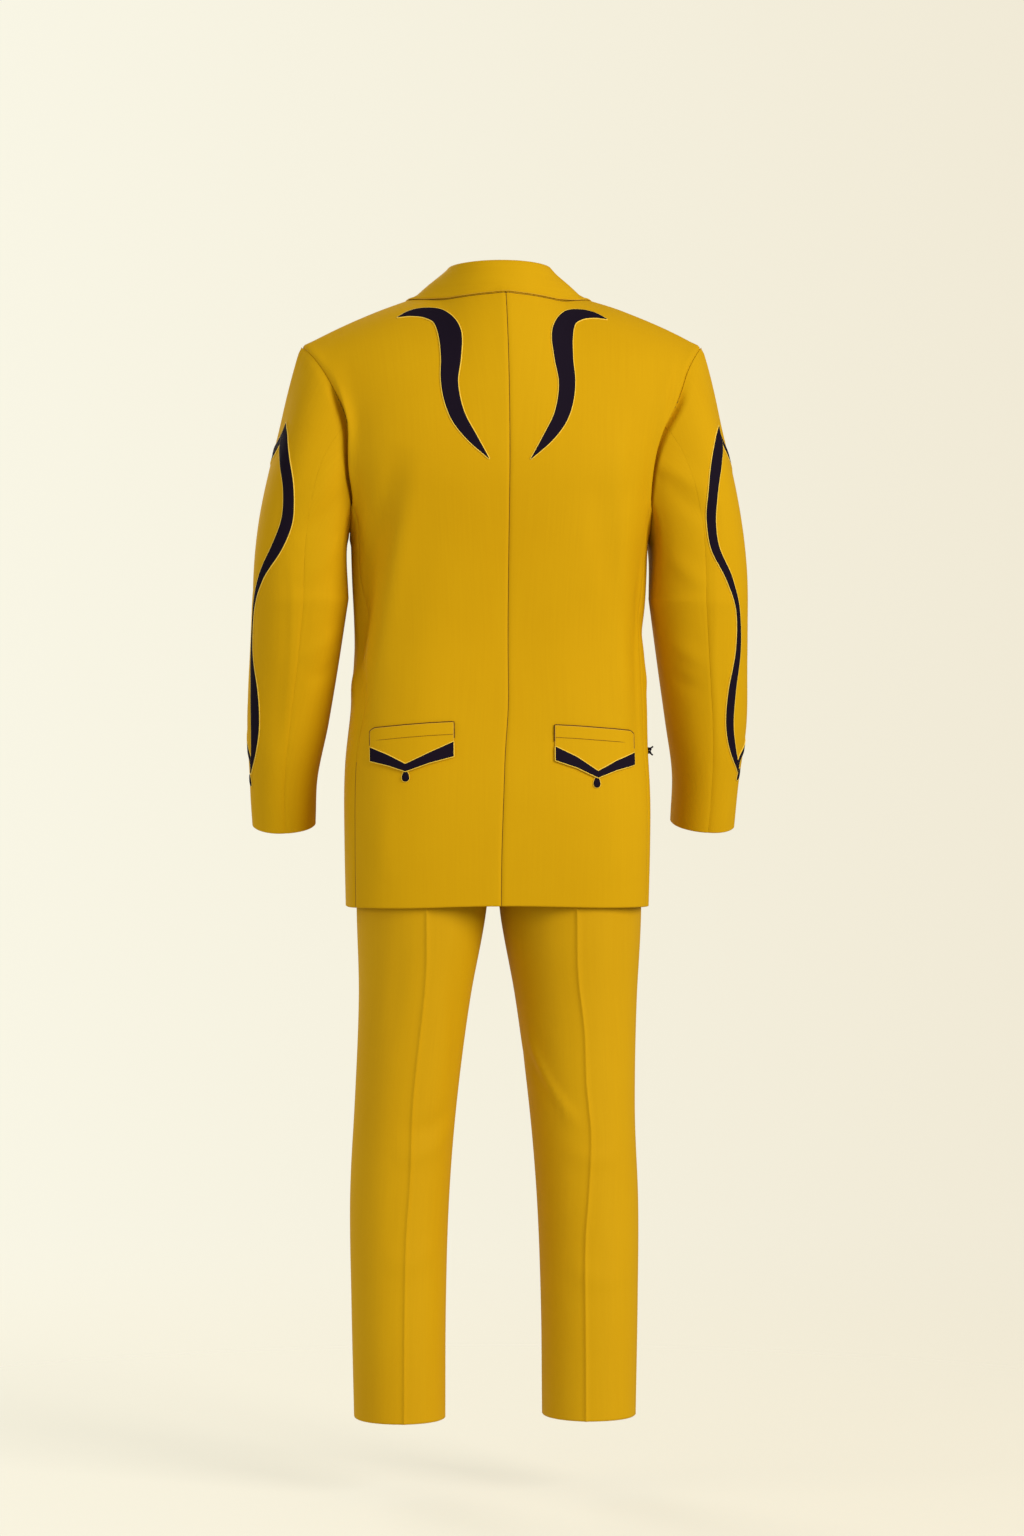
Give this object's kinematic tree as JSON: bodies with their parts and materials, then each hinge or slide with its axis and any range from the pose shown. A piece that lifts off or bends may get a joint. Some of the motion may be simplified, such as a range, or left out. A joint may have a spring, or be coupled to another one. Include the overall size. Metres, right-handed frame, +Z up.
{
  "type": "western suit",
  "caption": "Worn western suit, jacket and trousers in mustard cloth with dark wavy trim, hollow and open at neck, cuffs and hems.",
  "frame": {"origin": "middle of the wearer's shoulders, inside the jacket at the height of the shoulder seams, where the suit is held", "axes": "+Z up along the wearer, +X to the wearer's left, -Y to the wearer's front"},
  "size_m": [0.6454, 0.272, 1.4961],
  "materials": {
    "suit_cloth": "matt worsted twill, mustard",
    "trouser_cloth": "matt worsted twill, mustard, pressed crease",
    "dark_trim": "smooth dark indigo cloth with a fine corded edge",
    "button": "satin"
  },
  "bodies": {
    "root": {"back_left": "suit_cloth", "back_right": "suit_cloth", "side_left": "suit_cloth", "side_right": "suit_cloth", "front_left": "suit_cloth", "front_right": "suit_cloth", "lapel_left": "suit_cloth", "lapel_right": "suit_cloth", "collar": "suit_cloth", "sleeve_top_left": "suit_cloth", "sleeve_top_right": "suit_cloth", "sleeve_under_left": "suit_cloth", "sleeve_under_right": "suit_cloth", "pocket_flap_left": "suit_cloth", "pocket_flap_right": "suit_cloth", "leg_front_left": "trouser_cloth", "leg_front_right": "trouser_cloth", "leg_back_left": "trouser_cloth", "leg_back_right": "trouser_cloth", "waistband": "trouser_cloth", "fly": "trouser_cloth", "back_scroll_left": "dark_trim", "back_scroll_right": "dark_trim", "sleeve_strip_back_left": "dark_trim", "sleeve_strip_back_right": "dark_trim", "sleeve_strip_front_left": "dark_trim", "sleeve_strip_front_right": "dark_trim", "strip_tab_left": "dark_trim", "strip_tab_right": "dark_trim", "flap_chevron_left": "dark_trim", "flap_chevron_right": "dark_trim", "flap_drop_left": "dark_trim", "flap_drop_right": "dark_trim", "side_knot_right": "dark_trim", "front_button_1": "button", "front_button_2": "button", "waist_button": "button"}
  },
  "joints": []
}
